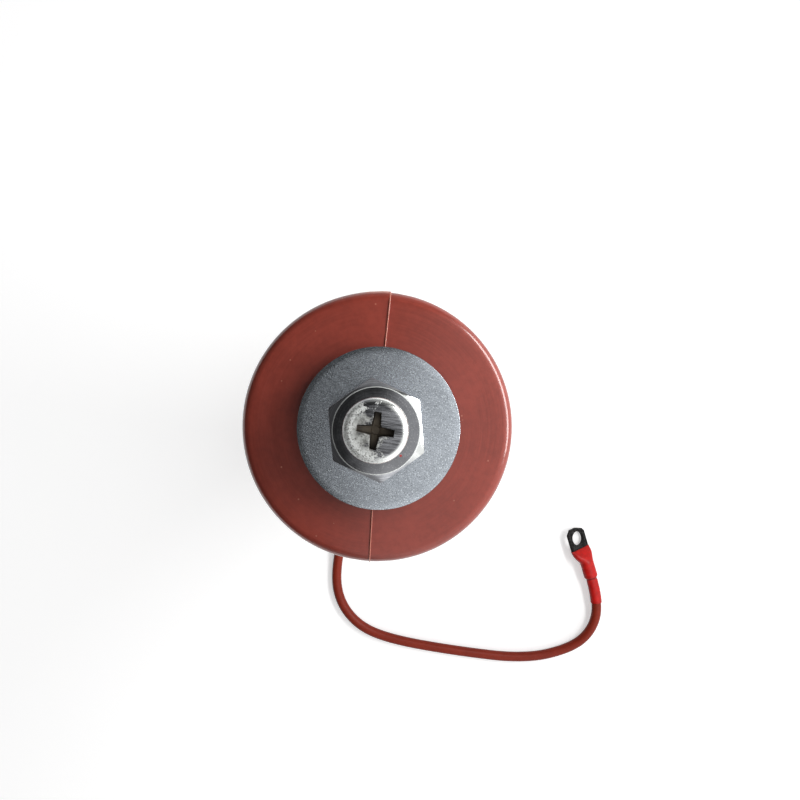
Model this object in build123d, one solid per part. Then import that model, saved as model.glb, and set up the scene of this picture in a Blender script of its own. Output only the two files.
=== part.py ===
"""Distribution surge arrester: a slim polymer-housed metal-oxide arrester with a bolted top terminal and a short lead.

The axis of the arrester is +Z and the origin is the centre of its base face, on the surface that it stands on.
A moulded silicone housing with weather sheds covers a glass-fibre tube. The tube holds a stack of zinc-oxide
varistor blocks, pressed between two pinned aluminium end electrodes by a pair of disc springs. A hollow terminal
stud stands in the top electrode, and carries a large washer, a hexagon nut and a pan-head screw. The insulated lead
leaves the side of the base through a tapered strain relief, lies on the ground in one long bend and ends in a
crimped lug under a shrunk sleeve. Lengths are millimetres, angles are degrees.
"""

import os
from math import cos, pi, radians, sin, tan

from build123d import *

# Housing
housing_height = 225.0
shed_radius = 25.6
core_wall = 3.0
base_wall = 6.0
base_height = 24.0
base_edge_round = 1.5
shoulder_height = 3.0
lower_shed_count = 7
top_shed_rim = 6.0
lower_shed_rim = 5.0
shed_rise = 2.2
shed_undercut = 1.0
rim_round = 2.3
top_rim_round = 2.9
root_round = 1.6
collar_wall = 2.5
collar_height = 1.2
lip_thickness = 3.0

# Mould seam: a thin fin that follows the outside of the housing
seam_angle = 84.1
opposite_seam_angle = 266.8
seam_width = 0.34
seam_proud = 0.3

# Core
tube_radius = 16.0
tube_wall = 2.75
bottom_flange_height = 20.0
bottom_plug_length = 16.0
top_flange_height = 6.0
top_plug_length = 20.0
top_boss_radius = 10.0
block_count = 5
block_clearance = 0.25
block_edge_round = 0.6
spacer_height = 16.0
contact_thickness = 0.5
plate_thickness = 3.0
spring_clearance = 0.75
spring_bore_radius = 6.1
spring_thickness = 1.5
spring_cone = 0.5
fit_gap = 0.05

# Pins that hold the electrodes in the tube
pin_count = 3
pin_radius = 1.5
pin_depth = 5.0
pin_angle = 30.0

# Base thread, M10, as a plain hole of the nominal size
base_thread_radius = 5.05
base_thread_depth = 16.0
thread_lead_in = 0.6

# Top terminal: M10 stud, large washer, hexagon nut and M6 pan-head screw
stud_radius = 5.0
stud_engagement = 15.0
stud_below_nut_top = 0.4
stud_tapped_depth = 16.0
stud_chamfer = 0.8
washer_radius = 15.0
washer_bore_radius = 5.5
washer_thickness = 2.5
washer_edge_round = 0.35
washer_shift = (0.44, 0.0)
nut_across_flats = 16.0
nut_height = 8.4
nut_corner_angle = 35.0
nut_face_share = 0.945
nut_chamfer_angle = 30.0
screw_radius = 3.0
screw_length = 14.0
head_radius = 5.7
head_height = 4.6
head_edge_round = 1.4
recess_arm_length = 6.5
recess_arm_width = 1.25
recess_depth = 2.9
recess_core_radius = 1.75
recess_taper = 6.0
recess_angle = -8.8

# Lead
cable_radius = 2.2
conductor_radius = 1.4
lead_angle = 249.6
lead_height = 11.0
conductor_length = 7.6
clamp_screw_radius = 2.0
clamp_screw_inset = 0.4
clamp_screw_setback = 4.6
clamp_socket_flats = 2.0
clamp_socket_depth = 2.0
relief_plug_radius = 5.0
relief_root_radius = 5.6
relief_tip_radius = 3.3
relief_length = 22.0
relief_tip_round = 0.6

# Corners of the lead's route after the strain relief; it lies on the ground and lifts a little towards the lug.
lead_corners = [
    (-19.4, -52.2, lead_height),
    (-26.0, -70.0, cable_radius),
    (-26.9, -89.1, cable_radius),
    (-18.1, -103.1, cable_radius),
    (-2.4, -110.4, cable_radius),
    (30.0, -116.1, cable_radius),
    (62.0, -119.7, cable_radius),
    (83.5, -114.4, 2.3),
    (92.8, -105.4, 3.6),
    (95.3, -92.5, 4.7),
    (91.6, -80.1, 5.0),
]
bend_share = 0.45

# Lug and sleeve, in the lug's own frame: +Y runs from the mouth of the barrel to the tip of the tongue
barrel_radius = 2.75
barrel_length = 7.0
flare_length = 6.4
tongue_width = 9.8
tongue_thickness = 1.4
tongue_length = 9.9
tongue_corner_cut = 2.1
tongue_edge_round = 0.3
lug_hole_radius = 3.2
lug_hole_to_tip = 4.9
lug_roll = 31.0
sleeve_wall = 0.3
sleeve_step_length = 1.2
sleeve_cable_share = 0.55

# Radii, levels and stations worked out from the sizes above
core_radius = tube_radius + core_wall
base_radius = tube_radius + base_wall
collar_radius = top_boss_radius + collar_wall
tube_bore_radius = tube_radius - tube_wall
plug_radius = tube_bore_radius - fit_gap
block_radius = tube_bore_radius - block_clearance
contact_radius = block_radius - block_edge_round
spring_outer_radius = tube_bore_radius - spring_clearance
conductor_reach = tube_radius - conductor_length
clamp_screw_distance = tube_radius - clamp_screw_setback
housing_top = housing_height + collar_height
top_flange_top = housing_height - lip_thickness
tube_bottom = bottom_flange_height
tube_top = top_flange_top - top_flange_height
stack_bottom = tube_bottom + bottom_plug_length
stack_top = tube_top - top_plug_length
spring_height = spring_thickness + spring_cone
plate_bottom = stack_top - 2 * spring_height - plate_thickness
blocks_top = plate_bottom - spacer_height
block_step = (blocks_top - stack_bottom + contact_thickness) / block_count
block_height = block_step - contact_thickness
bore_radius = tube_radius + fit_gap
washer_top = housing_top + washer_thickness
nut_top = washer_top + nut_height
lead_dir = Vector(cos(radians(lead_angle)), sin(radians(lead_angle)), 0)
relief_end = base_radius + relief_length
shed_pitch = (housing_height - top_shed_rim / 2 - base_height) / (lower_shed_count + 1)


def ring(outer, inner, bottom, top):
    """A plain ring, or a disc where inner is 0."""
    body = Pos(0, 0, bottom) * extrude(Circle(outer), top - bottom)
    if inner:
        body -= Pos(0, 0, bottom) * extrude(Circle(inner), top - bottom)
    return body


def turned(points):
    """A solid of revolution about Z from (radius, height) corners."""
    face = make_face(Polyline([(r, 0, z) for r, z in points], close=True))
    return revolve(face, Axis.Z)


def rounded_face(points, rounds):
    """A face in the XZ plane from (radius, height) corners; rounds gives the corner radius of those that have one."""
    face = make_face(Polyline([(r, z) for r, z in points], close=True))
    for size in sorted(set(rounds.values())):
        wanted = [points[i] for i, r in rounds.items() if r == size]
        corners = [
            v
            for v in face.vertices()
            if any(abs(v.X - r) < 1e-4 and abs(v.Y - z) < 1e-4 for r, z in wanted)
        ]
        face = fillet(corners, size)
    return Plane.XZ * face


def housing_outline():
    """Corners of the housing's outside from the base up to the top collar, and the radius at each rounded corner."""
    points = [(base_radius, 0), (base_radius, base_height), (core_radius, base_height + shoulder_height)]
    rounds = {1: base_edge_round, 2: root_round}

    def add(point, size=0.0):
        if size:
            rounds[len(points)] = size
        points.append(point)

    for i in range(1, lower_shed_count + 1):
        middle = base_height + i * shed_pitch
        low, high = middle - lower_shed_rim / 2, middle + lower_shed_rim / 2
        add((core_radius, low - shed_undercut), root_round)
        add((shed_radius, low), rim_round)
        add((shed_radius, high), rim_round)
        add((core_radius, high + shed_rise), root_round)
    low = housing_height - top_shed_rim
    add((core_radius, low - shed_undercut), root_round)
    add((shed_radius, low), top_rim_round)
    add((shed_radius, housing_height), top_rim_round)
    add((collar_radius, housing_height))
    add((collar_radius, housing_top))
    return points, rounds


def housing():
    outline, rounds = housing_outline()
    axis_points = [(0, housing_top), (0, 0)]
    body = revolve(rounded_face(outline + axis_points, rounds), Axis.Z)
    body = max(body.solids(), key=lambda s: s.volume)
    body = body + seam_fin(outline, rounds)
    body -= ring(bore_radius, 0, 0, top_flange_top)
    body -= ring(top_boss_radius + fit_gap, 0, top_flange_top, housing_top)
    body -= radial_rod(relief_plug_radius + fit_gap, tube_radius / 2, base_radius + 1)
    return body


def seam_fin(outline, rounds):
    """The mould's flash: the housing's own outline, a little larger, as a thin plate through the axis."""
    middle = outline[-1][1] / 2
    grown = []
    for i, (r, z) in enumerate(outline):
        lift = 0.0
        if i + 1 < len(outline) and outline[i + 1][0] < r:
            lift = seam_proud
        if 0 < i and outline[i - 1][0] < r and z < outline[-1][1] - 1:
            lift = -seam_proud
        if i in (0, len(outline) - 1) or (r == collar_radius and z < middle):
            lift = 0.0
        grown.append((r + seam_proud, z + lift))
    grown[0] = (grown[0][0], seam_proud)
    face = rounded_face(grown + [(0, grown[-1][1]), (0, seam_proud)], rounds)
    half = extrude(face, seam_width / 2, both=True)
    return Rot(0, 0, seam_angle) * half + Rot(0, 0, opposite_seam_angle) * half


def radial_rod(radius, start, end):
    """A rod along the lead's direction, at the lead's height, from start to end off the axis."""
    plane = Plane(origin=lead_dir * start + Vector(0, 0, lead_height), z_dir=lead_dir)
    return extrude(plane * Circle(radius), end - start)


def pins(height):
    """The radial pins of one electrode, flush with the outside of the tube."""
    made = []
    for i in range(pin_count):
        turn = Rot(0, 0, pin_angle + i * 360 / pin_count)
        start = tube_bore_radius - pin_depth
        plane = Plane(origin=(start, 0, height), z_dir=(1, 0, 0))
        made.append(turn * extrude(plane * Circle(pin_radius), tube_radius - start - 0.4))
    return made


def pin_holes(height):
    made = []
    for i in range(pin_count):
        turn = Rot(0, 0, pin_angle + i * 360 / pin_count)
        start = tube_bore_radius - pin_depth - fit_gap
        plane = Plane(origin=(start, 0, height), z_dir=(1, 0, 0))
        made.append(turn * extrude(plane * Circle(pin_radius + fit_gap), tube_radius - start + 1))
    return made


bottom_pin_height = tube_bottom + bottom_plug_length / 2
top_pin_height = tube_top - top_plug_length / 2


def glass_fibre_tube():
    body = ring(tube_radius, tube_bore_radius, tube_bottom, tube_top)
    return body - pin_holes(bottom_pin_height) - pin_holes(top_pin_height)


def bottom_electrode():
    body = ring(tube_radius, 0, 0, bottom_flange_height)
    body += ring(plug_radius, 0, bottom_flange_height, stack_bottom)
    mouth = base_thread_radius + thread_lead_in
    body -= turned(
        [
            (0, 0),
            (mouth, 0),
            (base_thread_radius, thread_lead_in),
            (base_thread_radius, base_thread_depth),
            (0, base_thread_depth),
        ]
    )
    body -= radial_rod(conductor_radius + fit_gap, conductor_reach - fit_gap, tube_radius + 1)
    body -= Pos(*clamp_centre()) * extrude(Circle(clamp_screw_radius + fit_gap), lead_height)
    return body - pin_holes(bottom_pin_height)


def clamp_centre():
    point = lead_dir * clamp_screw_distance
    return (point.X, point.Y, 0)


def lead_clamp_screw():
    """The set screw under the base that presses on the bare end of the lead."""
    length = lead_height - conductor_radius - clamp_screw_inset - fit_gap
    body = extrude(Circle(clamp_screw_radius), length)
    socket = RegularPolygon(clamp_socket_flats / 2, 6, major_radius=False)
    body -= extrude(socket, clamp_socket_depth)
    x, y, _ = clamp_centre()
    return Pos(x, y, clamp_screw_inset) * body


def top_electrode():
    body = ring(plug_radius, 0, stack_top, tube_top)
    body += ring(tube_radius, 0, tube_top, top_flange_top)
    body += ring(top_boss_radius, 0, top_flange_top, housing_top)
    body -= ring(stud_radius + fit_gap, 0, housing_top - stud_engagement, housing_top)
    return body - pin_holes(top_pin_height)


def varistor_block(index):
    low = stack_bottom + index * block_step
    body = ring(block_radius, 0, low, low + block_height)
    return fillet(body.edges().filter_by(GeomType.CIRCLE), block_edge_round)


def contact_disc(index):
    low = stack_bottom + (index + 1) * block_step - contact_thickness
    return ring(contact_radius, 0, low, low + contact_thickness)


def spacer_block():
    body = ring(block_radius, 0, blocks_top, plate_bottom)
    return fillet(body.edges().filter_by(GeomType.CIRCLE), block_edge_round)


def pressure_plate():
    return ring(spring_outer_radius, 0, plate_bottom, plate_bottom + plate_thickness)


def disc_springs():
    """A facing pair of coned washers: the lower rises to its bore, and the upper rises to its rim."""
    low = plate_bottom + plate_thickness
    lower = turned(
        [
            (spring_bore_radius, low + spring_cone),
            (spring_outer_radius, low),
            (spring_outer_radius, low + spring_thickness),
            (spring_bore_radius, low + spring_height),
        ]
    )
    upper = mirror(lower, Plane.XY.offset(low + spring_height))
    return lower, upper


def terminal_stud():
    low = housing_top - stud_engagement
    high = nut_top - stud_below_nut_top
    body = ring(stud_radius, 0, low, high)
    body = chamfer(body.edges().filter_by(GeomType.CIRCLE), stud_chamfer)
    return body - ring(screw_radius + fit_gap, 0, high - stud_tapped_depth, high)


def terminal_washer():
    body = ring(washer_radius, washer_bore_radius, housing_top, washer_top)
    body = fillet(body.edges().filter_by(GeomType.CIRCLE), washer_edge_round)
    return Pos(*washer_shift, 0) * body


def terminal_nut():
    prism = extrude(RegularPolygon(nut_across_flats / 2, 6, major_radius=False), nut_height)
    corner = nut_across_flats / 2 / cos(radians(30))
    face = nut_across_flats / 2 * nut_face_share
    drop = (corner + 1 - face) * tan(radians(nut_chamfer_angle))
    envelope = turned(
        [
            (0, 0),
            (face, 0),
            (corner + 1, drop),
            (corner + 1, nut_height - drop),
            (face, nut_height),
            (0, nut_height),
        ]
    )
    bore = extrude(Circle(stud_radius + fit_gap), nut_height)
    return Pos(0, 0, washer_top) * Rot(0, 0, nut_corner_angle - 30) * ((prism & envelope) - bore)


def cross_recess():
    """The tapered cross in the screw's head, pointing down from the plane Z = 0."""
    shrink = recess_depth * tan(radians(recess_taper))
    arms = []
    for turn in (0, 90):
        top = Plane.XY * Rot(0, 0, turn) * Rectangle(recess_arm_length, recess_arm_width)
        deep = Plane.XY.offset(-recess_depth) * Rot(0, 0, turn)
        deep = deep * Rectangle(recess_arm_length - 4 * shrink, recess_arm_width - shrink)
        arms.append(loft([top, deep]))
    core = turned([(0, 0), (recess_core_radius, 0), (recess_core_radius * 0.6, -recess_depth), (0, -recess_depth - 0.5)])
    return Rot(0, 0, recess_angle) * (arms[0] + arms[1] + core)


def terminal_screw():
    top = nut_top + head_height
    head = ring(head_radius, 0, nut_top, top)
    head = fillet(head.edges().group_by(Axis.Z)[-1], head_edge_round)
    shank = ring(screw_radius, 0, nut_top - screw_length, nut_top)
    return head + shank - Pos(0, 0, top) * cross_recess()


def lead_route():
    """The lead's centre line from the strain relief to the lug: straight runs joined by large arcs."""
    start = lead_dir * relief_end + Vector(0, 0, lead_height)
    points = [start] + [Vector(*p) for p in lead_corners]
    radii = []
    for before, corner, after in zip(points, points[1:], points[2:]):
        turn = (corner - before).get_angle(after - corner)
        shorter = min((corner - before).length, (after - corner).length)
        radii.append(bend_share * shorter / tan(radians(turn / 2)))
    print("lead bend radii", [round(r, 1) for r in radii])
    return FilletPolyline(*points, radius=radii)


def tube_along(path, outer, inner=0.0):
    start = path @ 0
    plane = Plane(origin=start, z_dir=path % 0)
    section = plane * Circle(outer)
    if inner:
        section -= plane * Circle(inner)
    return sweep(section, path=path)


def lug_frame():
    """Local frame at the end of the lead, rolled about the lug's own length."""
    end, before = Vector(*lead_corners[-1]), Vector(*lead_corners[-2])
    along = (end - before).normalized()
    side = along.cross(Vector(0, 0, 1))
    return Location(Plane(origin=end, x_dir=side, z_dir=side.cross(along))) * Rot(0, lug_roll, 0)


def eight_edge_face(plane, half_width, half_height, corner, middle=0.0):
    """A rounded rectangle of eight edges; with all three sizes equal it is a circle of eight arcs."""
    if corner == half_width == half_height:
        turns = [-20, 20, 70, 110, 160, 200, 250, 290, 340]
        edges = [
            ThreePointArc(*[(corner * cos(radians(t)), corner * sin(radians(t))) for t in (a, (a + b) / 2, b)])
            for a, b in zip(turns, turns[1:])
        ]
        return plane * make_face(edges)
    w, h, c, k = half_width, half_height, corner, corner * (1 - cos(radians(45)))
    edges = []
    for u, v, turned_over in ((1, 1, False), (-1, 1, True), (-1, -1, False), (1, -1, True)):
        ends = [(u * w, v * (h - c) + middle), (u * (w - c), v * h + middle)]
        middle_point = (u * (w - k), v * (h - k) + middle)
        if turned_over:
            ends.reverse()
        if edges:
            edges.append(Line(edges[-1] @ 1, ends[0]))
        edges.append(ThreePointArc(ends[0], middle_point, ends[1]))
    edges.append(Line(edges[-1] @ 1, edges[0] @ 0))
    edges = edges[-1:] + edges[:-1]
    return plane * make_face(edges)


def lug_outside(grow, mouth=0.0):
    """Barrel and flare of the lug as full shapes, larger all round by grow, and the tongue's middle height."""
    middle = tongue_thickness / 2 - barrel_radius
    radius = barrel_radius + grow
    front = Plane.XZ.offset(-barrel_length)
    back = Plane.XZ.offset(-barrel_length - flare_length)
    barrel = Pos(0, mouth, 0) * extrude(Plane.XZ * Circle(radius), mouth - barrel_length)
    half_width, half_height = tongue_width / 2 + grow, tongue_thickness / 2 + grow
    flat = eight_edge_face(back, half_width, half_height, half_height * 0.8, middle)
    flare = loft([eight_edge_face(front, radius, radius, radius), flat])
    return barrel, flare, middle


def cable_lug():
    barrel, flare, middle = lug_outside(0, fit_gap)
    start = barrel_length + flare_length
    end = start + tongue_length
    half, cut = tongue_width / 2, tongue_corner_cut
    corners = [
        (-half, start),
        (half, start),
        (half, end - cut * 1.3),
        (half - cut / 2, end - cut * 0.6),
        (half - cut * 2, end),
        (cut - half, end),
        (-half, end - cut),
    ]
    tongue = extrude(make_face(Polyline(corners, close=True)), tongue_thickness)
    tongue = Pos(0, 0, middle - tongue_thickness / 2) * tongue
    hole = extrude(Circle(lug_hole_radius), 2 * tongue_thickness)
    tongue -= Pos(0, end - lug_hole_to_tip, middle - tongue_thickness) * hole
    body = barrel + flare + tongue
    body -= extrude(Plane.XZ * Circle(conductor_radius + fit_gap), -(barrel_length + fit_gap))
    return lug_frame() * body


def lead_sleeve(path):
    """The shrunk sleeve over the end of the lead, the barrel and the flare of the lug."""
    edges = path.edges()
    bend, last = edges[-2], edges[-1]
    covered = Wire([bend.trim(1 - sleeve_cable_share, 1.0), last])
    over_cable = tube_along(covered, cable_radius + fit_gap + sleeve_wall, cable_radius + fit_gap)
    barrel, flare, _ = lug_outside(fit_gap + sleeve_wall)
    inner_barrel, inner_flare, _ = lug_outside(fit_gap)
    outer, inner = cable_radius + fit_gap + sleeve_wall, barrel_radius + fit_gap + sleeve_wall
    step = Rot(-90, 0, 0) * turned([(0, -sleeve_step_length), (outer, -sleeve_step_length), (inner, 0), (0, 0)])
    step -= extrude(Plane.XZ.offset(sleeve_step_length + 1) * Circle(cable_radius + fit_gap), -sleeve_step_length - 2)
    over_lug = (barrel + flare) - inner_barrel - inner_flare
    return over_cable + lug_frame() * (step + over_lug)


def lead_entry():
    """The straight stretch of the lead inside the base and the strain relief."""
    return radial_rod(cable_radius, tube_radius + fit_gap, relief_end)


def conductor_in_base():
    """The bare strands that the clamp screw holds in the bottom electrode."""
    return radial_rod(conductor_radius, conductor_reach, tube_radius + fit_gap)


def conductor_in_lug():
    """The bare strands crimped into the lug's barrel."""
    return lug_frame() * extrude(Plane.XZ * Circle(conductor_radius), -barrel_length)


def lead_strain_relief():
    start = tube_radius + fit_gap
    root = base_radius + fit_gap
    plug = radial_rod(relief_plug_radius, start, root)
    low = base_radius - 1.5
    plane = Plane(origin=lead_dir * low + Vector(0, 0, lead_height), z_dir=lead_dir)
    reach = relief_end - low
    cone = loft([plane * Circle(relief_root_radius), plane.offset(reach) * Circle(relief_tip_radius)])
    tip = cone.faces().sort_by(lambda f: f.center().dot(lead_dir))[-1]
    cone = fillet(tip.edges(), relief_tip_round)
    cone -= ring(root, 0, 0, base_height + relief_root_radius)
    bore = radial_rod(cable_radius + fit_gap, start - 1, relief_end + 1)
    return plug + cone - bore


def save(name, shape):
    """Writes one node; a list of solids becomes one group."""
    if isinstance(shape, (list, tuple)):
        shape = Compound(children=[s for part in shape for s in part.solids()])
    export_step(shape, f"parts/{name}.step")


def main():
    os.makedirs("parts", exist_ok=True)
    path = lead_route()
    edges = path.edges()
    cable = tube_along(path, cable_radius)
    length = sum(e.length for e in edges)
    share = cable.volume / (length * pi * cable_radius**2)
    print("free lead length", round(length, 1), "volume over section times length", round(share, 4))

    save("silicone_housing", housing())
    save("glass_fibre_tube", glass_fibre_tube())
    save("bottom_electrode", bottom_electrode())
    save("top_electrode", top_electrode())
    save("bottom_electrode_pins", pins(bottom_pin_height))
    save("top_electrode_pins", pins(top_pin_height))
    for i in range(block_count):
        save(f"varistor_block_{i + 1}", varistor_block(i))
    for i in range(block_count - 1):
        save(f"contact_disc_{i + 1}", contact_disc(i))
    save("spacer_block", spacer_block())
    save("pressure_plate", pressure_plate())
    lower, upper = disc_springs()
    save("disc_spring_lower", lower)
    save("disc_spring_upper", upper)
    save("terminal_stud", terminal_stud())
    save("terminal_washer", terminal_washer())
    save("terminal_nut", terminal_nut())
    save("terminal_screw", terminal_screw())
    save("lead_cable", cable)
    save("lead_entry", lead_entry())
    save("conductor_in_base", conductor_in_base())
    save("conductor_in_lug", conductor_in_lug())
    save("lead_clamp_screw", lead_clamp_screw())
    save("lead_strain_relief", lead_strain_relief())
    save("lead_sleeve", lead_sleeve(path))
    save("cable_lug", cable_lug())


if __name__ == "__main__":
    main()
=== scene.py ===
"""Dresses the distribution surge arrester over its CAD frame.

+Z is the arrester's axis. The sizes and the mesh code are in millimetres, and a mesh is scaled to metres as
it is made. The lead's route, the stage and the shader nodes are in metres.
"""

from math import atan2, ceil, cos, exp, hypot, pi, radians, sin, sqrt, tan

import bmesh
import bpy
from bpy.props import FloatProperty, FloatVectorProperty, IntProperty, PointerProperty
from mathutils import Matrix, Vector, noise


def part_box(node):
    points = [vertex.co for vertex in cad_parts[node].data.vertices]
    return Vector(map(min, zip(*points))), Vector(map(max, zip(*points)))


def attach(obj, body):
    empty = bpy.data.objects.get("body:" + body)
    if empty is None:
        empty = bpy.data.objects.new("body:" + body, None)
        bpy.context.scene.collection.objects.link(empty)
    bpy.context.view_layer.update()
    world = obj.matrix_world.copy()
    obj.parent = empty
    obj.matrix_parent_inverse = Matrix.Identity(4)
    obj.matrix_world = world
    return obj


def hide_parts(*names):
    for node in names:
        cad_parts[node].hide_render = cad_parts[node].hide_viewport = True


bl_info = {
    "name": "Surge arrester dressing",
    "version": (1, 0, 0),
    "blender": (4, 5, 0),
    "location": "View3D > Sidebar > Arrester",
    "description": "Visible pieces and finishes of a distribution surge arrester over its CAD frame",
    "category": "Object",
}

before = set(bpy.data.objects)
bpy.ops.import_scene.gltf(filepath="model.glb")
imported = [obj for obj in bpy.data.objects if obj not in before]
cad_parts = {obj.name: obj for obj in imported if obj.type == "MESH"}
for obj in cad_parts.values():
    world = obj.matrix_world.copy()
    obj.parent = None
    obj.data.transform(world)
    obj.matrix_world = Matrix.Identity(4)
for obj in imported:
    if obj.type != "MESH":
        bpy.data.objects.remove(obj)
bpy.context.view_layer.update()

MM = 0.001
ROOT = "root"
FULL_TURN = 2 * pi

# The lead's route: the strain relief's mouth, then the corners of the lead.
LEAD_ROUTE = [
    (-0.0153372, -0.0412404, 0.011),
    (-0.0194, -0.0522, 0.011),
    (-0.0260, -0.0700, 0.0022),
    (-0.0269, -0.0891, 0.0022),
    (-0.0181, -0.1031, 0.0022),
    (-0.0024, -0.1104, 0.0022),
    (0.0300, -0.1161, 0.0022),
    (0.0620, -0.1197, 0.0022),
    (0.0835, -0.1144, 0.0023),
    (0.0928, -0.1054, 0.0036),
    (0.0953, -0.0925, 0.0047),
    (0.0916, -0.0801, 0.0050),
]

# The strain relief's direction from the axis, and its middle's height.
RELIEF_ANGLE = radians(249.6)
RELIEF_HEIGHT = 11.0

# The lug at the lead's end.
BARREL_LENGTH, BARREL_RADIUS = 7.0, 2.75
FLARE_LENGTH = 6.4
TONGUE_HALF_WIDTH, TONGUE_THICKNESS = 4.9, 1.4
LUG_ROLL = radians(31.0)

# The housing's outline.
TOP_RIM, LOWER_RIM = 6.0, 5.0
COLLAR_RADIUS, COLLAR_HEIGHT = 12.5, 1.2

# The nut's flat face as a share of its flats, and colours of the nut and the screw.
NUT_FACE_SHARE = 0.945
RUST = (0.20, 0.09, 0.06)
CRUMB_PLACE, RED_CRUMB = (4.55, -4.3), (0.35, 0.02, 0.015)
RUBBED_GREYS = (0.15, 0.15, 0.14), (0.48, 0.49, 0.47)
PIT = (0.07, 0.065, 0.055)
# Brown dirt in the screw's recess; the darker colour is painted shade on the recess's upper walls.
RECESS_DIRT_AND_SHADE = (0.05, 0.042, 0.033), (0.22, 0.185, 0.14)

WHITE = (1.0, 1.0, 1.0)


# ---- Sizes and colours that a user would change ----


def number(name, default, description, **settings):
    return FloatProperty(name=name, description=description, default=default, **settings)


def length(name, default, description):
    return number(name, default, description + ", mm", min=0.0, precision=3)


def angle(name, default, description):
    return number(name, radians(default), description, subtype="ANGLE")


def shift(name, default, description):
    return FloatVectorProperty(name=name, description=description, default=default, size=2)


def colour(name, default, description):
    return FloatVectorProperty(
        name=name, description=description, default=default, size=3, subtype="COLOR", min=0.0, max=1.0
    )


class HousingSizes(bpy.types.PropertyGroup):
    height: length("Height", 225.0, "Base face to the top shed's upper face")
    shed_radius: length("Shed radius", 25.6, "Outer radius of every shed")
    core_radius: length("Core radius", 19.0, "Radius of the rubber between the sheds")
    base_radius: length("Base radius", 22.0, "Radius of the base cylinder")
    base_height: length("Base height", 24.0, "Height of the base cylinder")
    lower_sheds: IntProperty(
        name="Lower sheds", description="Sheds under the top one", default=7, min=1, max=12
    )
    seam_angle: angle("Seam angle", 84.1, "Direction of the mould seam in plan")
    seam_opposite: angle("Opposite seam", 266.8, "Direction of the seam on the other side")
    seam_width: length("Seam width", 0.17, "Width of the seam's flash")
    seam_height: length("Seam height", 0.2, "How far the seam's flash stands out")
    seam_wander: length("Seam wander", 0.1, "How far the seam wanders from straight")
    rubber: colour("Rubber", (0.228, 0.036, 0.023), "Moulded silicone")
    flash: colour("Flash", (0.50, 0.19, 0.13), "Thin flash on the seam and the rim")


class TerminalSizes(bpy.types.PropertyGroup):
    washer_radius: length("Washer radius", 15.0, "Outer radius of the washer")
    washer_thickness: length("Washer thickness", 2.5, "Thickness of the washer")
    nut_flats: length("Nut flats", 16.0, "Width across the nut's flats")
    nut_height: length("Nut height", 8.4, "Height of the nut")
    nut_corner: angle("Nut corner", 35.0, "Direction of one of the nut's corners")
    head_radius: length("Screw head radius", 5.7, "Radius of the pan head")
    head_height: length("Screw head height", 4.6, "Height of the pan head")
    recess_angle: angle("Recess angle", -8.8, "Direction of the cross recess")
    nut_shift: shift("Nut shift", (0.3, 0.02), "How far the nut sits off the axis, mm")
    screw_shift: shift("Screw shift", (0.3, 0.24), "How far the screw sits off the axis, mm")
    zinc: colour("Zinc", (0.68, 0.735, 0.80), "Zinc-plated washer")
    steel: colour("Steel", (0.50, 0.51, 0.54), "Plated nut and screw")
    worn: colour("Worn steel", (0.80, 0.82, 0.80), "Bare metal where the plating has worn")


class LeadSizes(bpy.types.PropertyGroup):
    radius: length("Lead radius", 2.2, "Radius of the insulation")
    sleeve_wall: length("Sleeve wall", 0.3, "Thickness of the shrunk sleeve")
    sleeve_run: length("Sleeve on the lead", 13.0, "Length of the sleeve on the lead itself")
    insulation: colour("Insulation", (0.24, 0.026, 0.012), "Silicone insulation of the lead")
    sleeve: colour("Sleeve", (0.60, 0.009, 0.006), "Shrunk sleeve")
    lug: colour("Lug", (0.009, 0.008, 0.008), "Darkened tin plate of the lug")


class StageSizes(bpy.types.PropertyGroup):
    camera_height: number("Camera height", 0.375, "Above the floor", unit="LENGTH")
    camera_x: number("Camera X", 0.0052, "Camera place along X", unit="LENGTH")
    camera_y: number("Camera Y", 0.0076, "Camera place along Y", unit="LENGTH")
    nadir_right: number("Nadir right", 0.0056, "Tilt towards +X")
    nadir_up: number("Nadir up", 0.0164, "Tilt towards +Y")
    key_power: number("Key power", 0.82, "Power of the key light, W")
    fill_power: number("Fill power", 0.25, "Power of the fill light, W")
    sky_dark: number("Dark sky", 0.07, "Strength of the sky away from the window")
    sky_bright: number("Bright sky", 0.94, "Strength of the sky towards the window")
    sky_low: number("Low sky", 0.4, "Strength of the low sky along Y")
    sky_from: number("Sky from", 0.375, "Where the sky starts to brighten")
    sky_to: number("Sky to", 0.475, "Where the sky is brightest")


# ---- Shader nodes ----


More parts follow.
